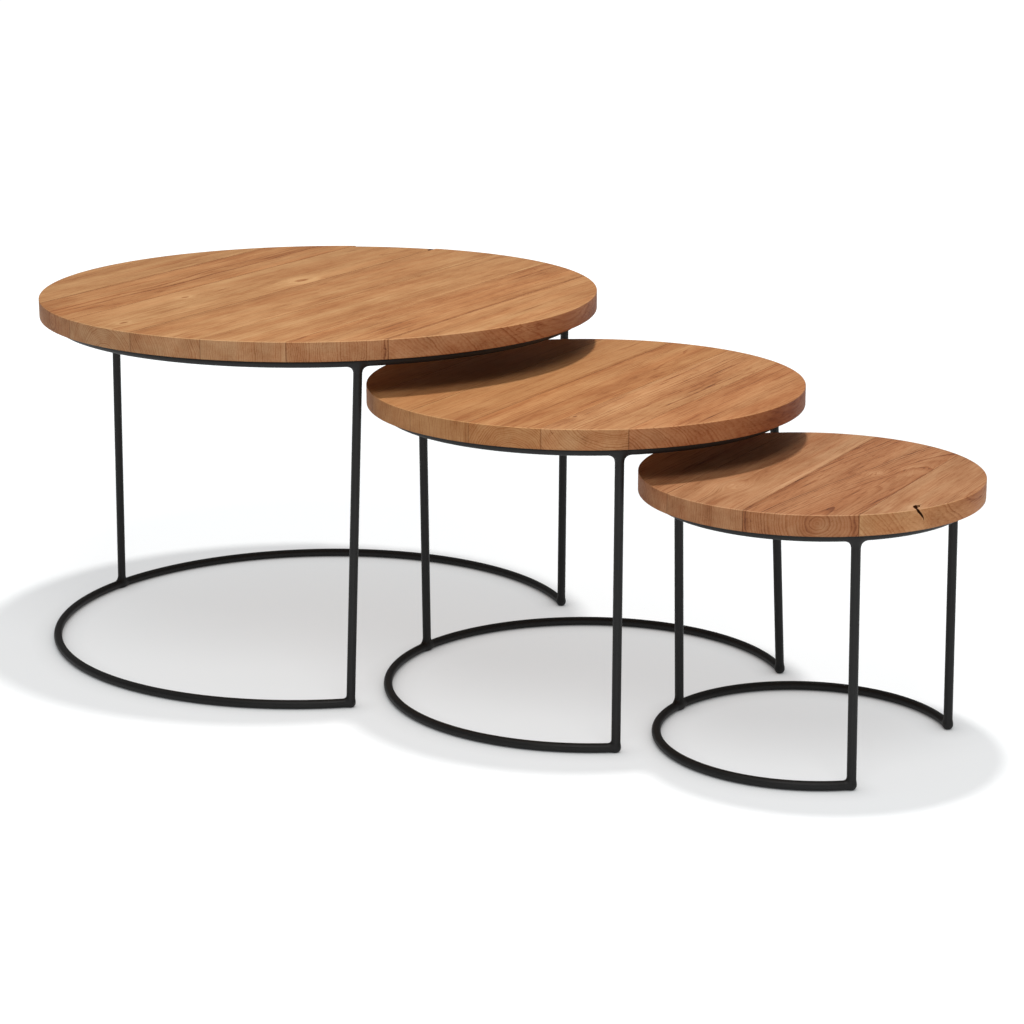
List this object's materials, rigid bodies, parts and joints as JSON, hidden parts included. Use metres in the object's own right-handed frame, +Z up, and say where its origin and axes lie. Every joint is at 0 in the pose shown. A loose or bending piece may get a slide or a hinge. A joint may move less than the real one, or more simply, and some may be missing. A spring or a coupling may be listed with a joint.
{
  "type": "nesting tables",
  "caption": "Set of round nesting coffee tables: plank-built wooden discs on slim black steel frames, each with an open floor ring that lets the next smaller table slide in under it.",
  "frame": {"origin": "middle of the set's footprint, on the floor, with the tables at the overlap they are displayed in", "axes": "+Z up; +Y to the back of the set; +X to the right, so the row of tables runs from the large one at -X +Y to the small one at +X -Y"},
  "size_m": [1.279, 1.122, 0.507],
  "materials": {
    "wood": "oiled reddish-brown hardwood planks, low satin sheen, end grain on the rim",
    "black_steel": "black powder coat, fine texture, low sheen",
    "screw_zinc": "zinc-plated"
  },
  "bodies": {
    "large_table": {"large_top_plank_1": "wood", "large_top_plank_2": "wood", "large_top_plank_3": "wood", "large_top_plank_4": "wood", "large_top_plank_5": "wood", "large_top_plank_6": "wood", "large_top_plank_7": "wood", "large_upper_ring": "black_steel", "large_floor_ring": "black_steel", "large_leg_left": "black_steel", "large_leg_front": "black_steel", "large_leg_right": "black_steel", "large_top_lug_1": "black_steel", "large_top_screw_1": "screw_zinc", "large_top_lug_2": "black_steel", "large_top_screw_2": "screw_zinc", "large_top_lug_3": "black_steel", "large_top_screw_3": "screw_zinc", "large_top_lug_4": "black_steel", "large_top_screw_4": "screw_zinc"},
    "medium_table": {"medium_top_plank_1": "wood", "medium_top_plank_2": "wood", "medium_top_plank_3": "wood", "medium_top_plank_4": "wood", "medium_top_plank_5": "wood", "medium_top_plank_6": "wood", "medium_upper_ring": "black_steel", "medium_floor_ring": "black_steel", "medium_leg_left": "black_steel", "medium_leg_front": "black_steel", "medium_leg_right": "black_steel", "medium_top_lug_1": "black_steel", "medium_top_screw_1": "screw_zinc", "medium_top_lug_2": "black_steel", "medium_top_screw_2": "screw_zinc", "medium_top_lug_3": "black_steel", "medium_top_screw_3": "screw_zinc", "medium_top_lug_4": "black_steel", "medium_top_screw_4": "screw_zinc"},
    "small_table": {"small_top_plank_1": "wood", "small_top_plank_2": "wood", "small_top_plank_3": "wood", "small_top_plank_4": "wood", "small_upper_ring": "black_steel", "small_floor_ring": "black_steel", "small_leg_left": "black_steel", "small_leg_front": "black_steel", "small_leg_right": "black_steel", "small_top_lug_1": "black_steel", "small_top_screw_1": "screw_zinc", "small_top_lug_2": "black_steel", "small_top_screw_2": "screw_zinc", "small_top_lug_3": "black_steel", "small_top_screw_3": "screw_zinc"}
  },
  "joints": [
    {"name": "medium_table_slide", "type": "slide", "parent": "large_table", "child": "medium_table", "axis": [0.5, -0.866, 0], "range_m": [-0.095, 0.25]},
    {"name": "small_table_slide", "type": "slide", "parent": "medium_table", "child": "small_table", "axis": [0.5736, -0.8192, 0], "range_m": [-0.068, 0.18]}
  ]
}
